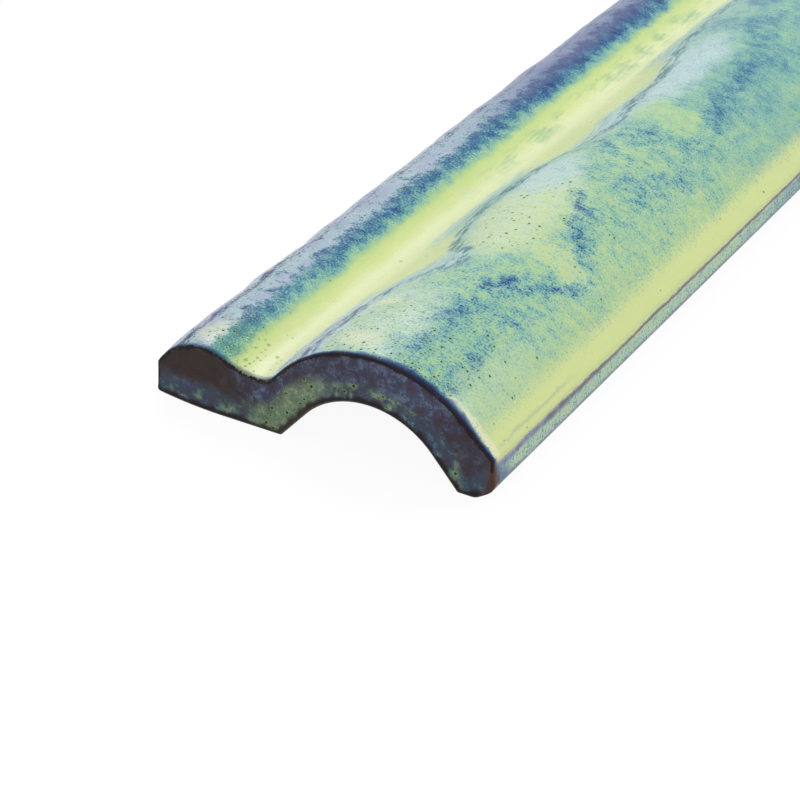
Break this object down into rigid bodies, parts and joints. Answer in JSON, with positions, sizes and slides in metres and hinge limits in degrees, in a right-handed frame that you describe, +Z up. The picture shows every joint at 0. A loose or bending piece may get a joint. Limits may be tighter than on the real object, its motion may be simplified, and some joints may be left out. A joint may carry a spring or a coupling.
{
  "type": "ceramic mudcap trim",
  "caption": "Glazed ceramic mud-set cap trim: flat beaded flange, cove and hollow arched bullnose with a hand-pressed, undulating flank.",
  "frame": {"origin": "middle of the strip's width and length, on the mortar bed that it lies on", "axes": "+X across the strip from the thin beaded flange to the foot of the arch, +Y along the strip, +Z up out of the bed through the glazed face"},
  "size_m": [0.0634, 0.2032, 0.02],
  "materials": {
    "glazed_ceramic": "satin-gloss run glaze, yellow-green and blue, over a dark brown body"
  },
  "bodies": {
    "root": {"mudcap_trim": "glazed_ceramic"}
  },
  "joints": []
}
